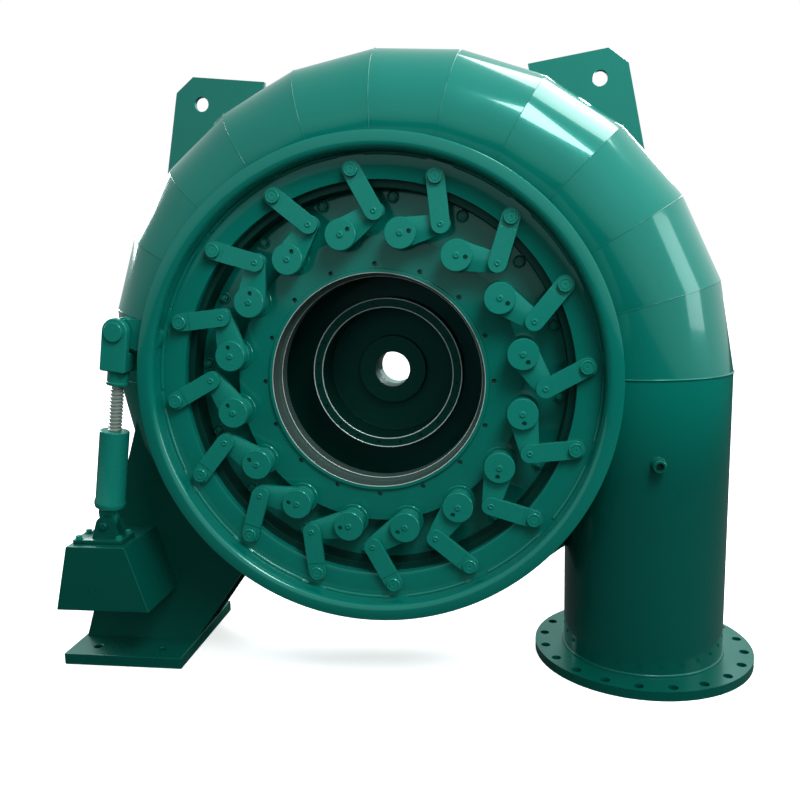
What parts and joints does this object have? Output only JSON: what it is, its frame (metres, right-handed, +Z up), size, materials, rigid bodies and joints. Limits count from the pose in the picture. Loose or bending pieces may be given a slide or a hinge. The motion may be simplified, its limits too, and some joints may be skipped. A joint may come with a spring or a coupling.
{
  "type": "francis turbine spiral case with guide vane gear",
  "caption": "Welded spiral case of a horizontal-shaft water turbine with an upright inlet pipe, a front regulating ring, guide-vane levers and links, and a jack on a side foot.",
  "frame": {"origin": "middle of the whole object's base, on the floor", "axes": "+Z up; the turbine axis runs along Y, and -Y looks at the regulating ring"},
  "size_m": [2.7436, 0.871, 2.3625],
  "materials": {
    "case_paint": "glossy teal green paint",
    "frame_paint": "satin dark teal green paint",
    "gear_paint": "semi-gloss teal green paint",
    "machined_steel": "machined bright steel",
    "rod_steel": "bright threaded rod"
  },
  "bodies": {
    "casing": {"back_cover": "frame_paint", "bore_liner": "machined_steel", "drain_socket": "case_paint", "foot_plate": "case_paint", "front_cover": "case_paint", "inlet_flange": "case_paint", "inlet_pipe": "case_paint", "jack_bracket": "case_paint", "jack_clevis": "frame_paint", "leg_back": "frame_paint", "leg_front": "frame_paint", "leg_rib": "frame_paint", "lug_left": "case_paint", "lug_right": "case_paint", "ring_guide": "frame_paint", "seal_ring": "machined_steel", "shaft_housing": "case_paint", "spiral_case_bottom": "case_paint", "spiral_case_left": "case_paint", "spiral_case_right": "case_paint", "spiral_case_top": "case_paint", "spiral_tail": "case_paint", "stay_ring_back": "case_paint", "stay_ring_front": "case_paint"},
    "regulating_ring": {"regulating_ring": "case_paint"},
    "jack_barrel": {"jack_barrel": "case_paint"},
    "jack_rod": {"jack_rod": "rod_steel", "jack_fork": "case_paint"},
    "vane_lever_01": {"vane_lever_01": "gear_paint"},
    "vane_lever_02": {"vane_lever_02": "gear_paint"},
    "vane_lever_03": {"vane_lever_03": "gear_paint"},
    "vane_lever_04": {"vane_lever_04": "gear_paint"},
    "vane_lever_05": {"vane_lever_05": "gear_paint"},
    "vane_lever_06": {"vane_lever_06": "gear_paint"},
    "vane_lever_07": {"vane_lever_07": "gear_paint"},
    "vane_lever_08": {"vane_lever_08": "gear_paint"},
    "vane_lever_09": {"vane_lever_09": "gear_paint"},
    "vane_lever_10": {"vane_lever_10": "gear_paint"},
    "vane_lever_11": {"vane_lever_11": "gear_paint"},
    "vane_lever_12": {"vane_lever_12": "gear_paint"},
    "vane_lever_13": {"vane_lever_13": "gear_paint"},
    "vane_lever_14": {"vane_lever_14": "gear_paint"},
    "vane_lever_15": {"vane_lever_15": "gear_paint"},
    "vane_lever_16": {"vane_lever_16": "gear_paint"},
    "link_01": {"link_01": "gear_paint"},
    "link_02": {"link_02": "gear_paint"},
    "link_03": {"link_03": "gear_paint"},
    "link_04": {"link_04": "gear_paint"},
    "link_05": {"link_05": "gear_paint"},
    "link_06": {"link_06": "gear_paint"},
    "link_07": {"link_07": "gear_paint"},
    "link_08": {"link_08": "gear_paint"},
    "link_09": {"link_09": "gear_paint"},
    "link_10": {"link_10": "gear_paint"},
    "link_11": {"link_11": "gear_paint"},
    "link_12": {"link_12": "gear_paint"},
    "link_13": {"link_13": "gear_paint"},
    "link_14": {"link_14": "gear_paint"},
    "link_15": {"link_15": "gear_paint"},
    "link_16": {"link_16": "gear_paint"}
  },
  "joints": [
    {"name": "ring_turn", "type": "hinge", "parent": "casing", "child": "regulating_ring", "pos_m": [-0.05318, -0.3955, 1.14], "axis": [0, -1, 0], "range_deg": [-1.5, 8.5]},
    {"name": "jack_swing", "type": "hinge", "parent": "casing", "child": "jack_barrel", "pos_m": [-1.11618, -0.3405, 0.609], "axis": [0, -1, 0], "range_deg": [-1, 1]},
    {"name": "jack_stroke", "type": "slide", "parent": "jack_barrel", "child": "jack_rod", "axis": [0.1562, 0, 0.9877], "range_m": [-0.1453, 0.0273]},
    {"name": "lever_turn_01", "type": "hinge", "parent": "casing", "child": "vane_lever_01", "pos_m": [0.05827, -0.2355, 1.67348], "axis": [0, -1, 0], "range_deg": [-4.55, 24.85]},
    {"name": "lever_turn_02", "type": "hinge", "parent": "casing", "child": "vane_lever_02", "pos_m": [0.25394, -0.2355, 1.59022], "axis": [0, -1, 0], "range_deg": [-4.55, 24.85]},
    {"name": "lever_turn_03", "type": "hinge", "parent": "casing", "child": "vane_lever_03", "pos_m": [0.40286, -0.2355, 1.43842], "axis": [0, -1, 0], "range_deg": [-4.55, 24.85]},
    {"name": "lever_turn_04", "type": "hinge", "parent": "casing", "child": "vane_lever_04", "pos_m": [0.48235, -0.2355, 1.24119], "axis": [0, -1, 0], "range_deg": [-4.55, 24.85]},
    {"name": "lever_turn_05", "type": "hinge", "parent": "casing", "child": "vane_lever_05", "pos_m": [0.4803, -0.2355, 1.02855], "axis": [0, -1, 0], "range_deg": [-4.55, 24.85]},
    {"name": "lever_turn_06", "type": "hinge", "parent": "casing", "child": "vane_lever_06", "pos_m": [0.39704, -0.2355, 0.83288], "axis": [0, -1, 0], "range_deg": [-4.55, 24.85]},
    {"name": "lever_turn_07", "type": "hinge", "parent": "casing", "child": "vane_lever_07", "pos_m": [0.24524, -0.2355, 0.68396], "axis": [0, -1, 0], "range_deg": [-4.55, 24.85]},
    {"name": "lever_turn_08", "type": "hinge", "parent": "casing", "child": "vane_lever_08", "pos_m": [0.04801, -0.2355, 0.60448], "axis": [0, -1, 0], "range_deg": [-4.55, 24.85]},
    {"name": "lever_turn_09", "type": "hinge", "parent": "casing", "child": "vane_lever_09", "pos_m": [-0.16463, -0.2355, 0.60652], "axis": [0, -1, 0], "range_deg": [-4.55, 24.85]},
    {"name": "lever_turn_10", "type": "hinge", "parent": "casing", "child": "vane_lever_10", "pos_m": [-0.3603, -0.2355, 0.68978], "axis": [0, -1, 0], "range_deg": [-4.55, 24.85]},
    {"name": "lever_turn_11", "type": "hinge", "parent": "casing", "child": "vane_lever_11", "pos_m": [-0.50921, -0.2355, 0.84158], "axis": [0, -1, 0], "range_deg": [-4.55, 24.85]},
    {"name": "lever_turn_12", "type": "hinge", "parent": "casing", "child": "vane_lever_12", "pos_m": [-0.5887, -0.2355, 1.03881], "axis": [0, -1, 0], "range_deg": [-4.55, 24.85]},
    {"name": "lever_turn_13", "type": "hinge", "parent": "casing", "child": "vane_lever_13", "pos_m": [-0.58666, -0.2355, 1.25145], "axis": [0, -1, 0], "range_deg": [-4.55, 24.85]},
    {"name": "lever_turn_14", "type": "hinge", "parent": "casing", "child": "vane_lever_14", "pos_m": [-0.5034, -0.2355, 1.44712], "axis": [0, -1, 0], "range_deg": [-4.55, 24.85]},
    {"name": "lever_turn_15", "type": "hinge", "parent": "casing", "child": "vane_lever_15", "pos_m": [-0.3516, -0.2355, 1.59604], "axis": [0, -1, 0], "range_deg": [-4.55, 24.85]},
    {"name": "lever_turn_16", "type": "hinge", "parent": "casing", "child": "vane_lever_16", "pos_m": [-0.15437, -0.2355, 1.67552], "axis": [0, -1, 0], "range_deg": [-4.55, 24.85]},
    {"name": "link_turn_01", "type": "hinge", "parent": "regulating_ring", "child": "link_01", "pos_m": [0.18602, -0.3315, 1.85822], "axis": [0, -1, 0], "range_deg": [-4.43, 24.17]},
    {"name": "link_turn_02", "type": "hinge", "parent": "regulating_ring", "child": "link_02", "pos_m": [0.44266, -0.3315, 1.71201], "axis": [0, -1, 0], "range_deg": [-4.43, 24.17]},
    {"name": "link_turn_03", "type": "hinge", "parent": "regulating_ring", "child": "link_03", "pos_m": [0.62382, -0.3315, 1.47872], "axis": [0, -1, 0], "range_deg": [-4.43, 24.17]},
    {"name": "link_turn_04", "type": "hinge", "parent": "regulating_ring", "child": "link_04", "pos_m": [0.7019, -0.3315, 1.19386], "axis": [0, -1, 0], "range_deg": [-4.43, 24.17]},
    {"name": "link_turn_05", "type": "hinge", "parent": "regulating_ring", "child": "link_05", "pos_m": [0.66504, -0.3315, 0.9008], "axis": [0, -1, 0], "range_deg": [-4.43, 24.17]},
    {"name": "link_turn_06", "type": "hinge", "parent": "regulating_ring", "child": "link_06", "pos_m": [0.51883, -0.3315, 0.64416], "axis": [0, -1, 0], "range_deg": [-4.43, 24.17]},
    {"name": "link_turn_07", "type": "hinge", "parent": "regulating_ring", "child": "link_07", "pos_m": [0.28554, -0.3315, 0.46301], "axis": [0, -1, 0], "range_deg": [-4.43, 24.17]},
    {"name": "link_turn_08", "type": "hinge", "parent": "regulating_ring", "child": "link_08", "pos_m": [0.00068, -0.3315, 0.38492], "axis": [0, -1, 0], "range_deg": [-4.43, 24.17]},
    {"name": "link_turn_09", "type": "hinge", "parent": "regulating_ring", "child": "link_09", "pos_m": [-0.29237, -0.3315, 0.42178], "axis": [0, -1, 0], "range_deg": [-4.43, 24.17]},
    {"name": "link_turn_10", "type": "hinge", "parent": "regulating_ring", "child": "link_10", "pos_m": [-0.54902, -0.3315, 0.56799], "axis": [0, -1, 0], "range_deg": [-4.43, 24.17]},
    {"name": "link_turn_11", "type": "hinge", "parent": "regulating_ring", "child": "link_11", "pos_m": [-0.73017, -0.3315, 0.80128], "axis": [0, -1, 0], "range_deg": [-4.43, 24.17]},
    {"name": "link_turn_12", "type": "hinge", "parent": "regulating_ring", "child": "link_12", "pos_m": [-0.80826, -0.3315, 1.08614], "axis": [0, -1, 0], "range_deg": [-4.43, 24.17]},
    {"name": "link_turn_13", "type": "hinge", "parent": "regulating_ring", "child": "link_13", "pos_m": [-0.77139, -0.3315, 1.3792], "axis": [0, -1, 0], "range_deg": [-4.43, 24.17]},
    {"name": "link_turn_14", "type": "hinge", "parent": "regulating_ring", "child": "link_14", "pos_m": [-0.62519, -0.3315, 1.63584], "axis": [0, -1, 0], "range_deg": [-4.43, 24.17]},
    {"name": "link_turn_15", "type": "hinge", "parent": "regulating_ring", "child": "link_15", "pos_m": [-0.3919, -0.3315, 1.81699], "axis": [0, -1, 0], "range_deg": [-4.43, 24.17]},
    {"name": "link_turn_16", "type": "hinge", "parent": "regulating_ring", "child": "link_16", "pos_m": [-0.10704, -0.3315, 1.89508], "axis": [0, -1, 0], "range_deg": [-4.43, 24.17]}
  ],
  "couplings": [
    {"joint": "jack_swing", "follows": "ring_turn", "ratio": 0.008},
    {"joint": "jack_stroke", "follows": "ring_turn", "m_per_rad": -0.966},
    {"joint": "lever_turn_01", "follows": "ring_turn", "ratio": 2.9},
    {"joint": "lever_turn_02", "follows": "ring_turn", "ratio": 2.9},
    {"joint": "lever_turn_03", "follows": "ring_turn", "ratio": 2.9},
    {"joint": "lever_turn_04", "follows": "ring_turn", "ratio": 2.9},
    {"joint": "lever_turn_05", "follows": "ring_turn", "ratio": 2.9},
    {"joint": "lever_turn_06", "follows": "ring_turn", "ratio": 2.9},
    {"joint": "lever_turn_07", "follows": "ring_turn", "ratio": 2.9},
    {"joint": "lever_turn_08", "follows": "ring_turn", "ratio": 2.9},
    {"joint": "lever_turn_09", "follows": "ring_turn", "ratio": 2.9},
    {"joint": "lever_turn_10", "follows": "ring_turn", "ratio": 2.9},
    {"joint": "lever_turn_11", "follows": "ring_turn", "ratio": 2.9},
    {"joint": "lever_turn_12", "follows": "ring_turn", "ratio": 2.9},
    {"joint": "lever_turn_13", "follows": "ring_turn", "ratio": 2.9},
    {"joint": "lever_turn_14", "follows": "ring_turn", "ratio": 2.9},
    {"joint": "lever_turn_15", "follows": "ring_turn", "ratio": 2.9},
    {"joint": "lever_turn_16", "follows": "ring_turn", "ratio": 2.9},
    {"joint": "link_turn_01", "follows": "ring_turn", "ratio": 2.82},
    {"joint": "link_turn_02", "follows": "ring_turn", "ratio": 2.82},
    {"joint": "link_turn_03", "follows": "ring_turn", "ratio": 2.82},
    {"joint": "link_turn_04", "follows": "ring_turn", "ratio": 2.82},
    {"joint": "link_turn_05", "follows": "ring_turn", "ratio": 2.82},
    {"joint": "link_turn_06", "follows": "ring_turn", "ratio": 2.82},
    {"joint": "link_turn_07", "follows": "ring_turn", "ratio": 2.82},
    {"joint": "link_turn_08", "follows": "ring_turn", "ratio": 2.82},
    {"joint": "link_turn_09", "follows": "ring_turn", "ratio": 2.82},
    {"joint": "link_turn_10", "follows": "ring_turn", "ratio": 2.82},
    {"joint": "link_turn_11", "follows": "ring_turn", "ratio": 2.82},
    {"joint": "link_turn_12", "follows": "ring_turn", "ratio": 2.82},
    {"joint": "link_turn_13", "follows": "ring_turn", "ratio": 2.82},
    {"joint": "link_turn_14", "follows": "ring_turn", "ratio": 2.82},
    {"joint": "link_turn_15", "follows": "ring_turn", "ratio": 2.82},
    {"joint": "link_turn_16", "follows": "ring_turn", "ratio": 2.82}
  ]
}
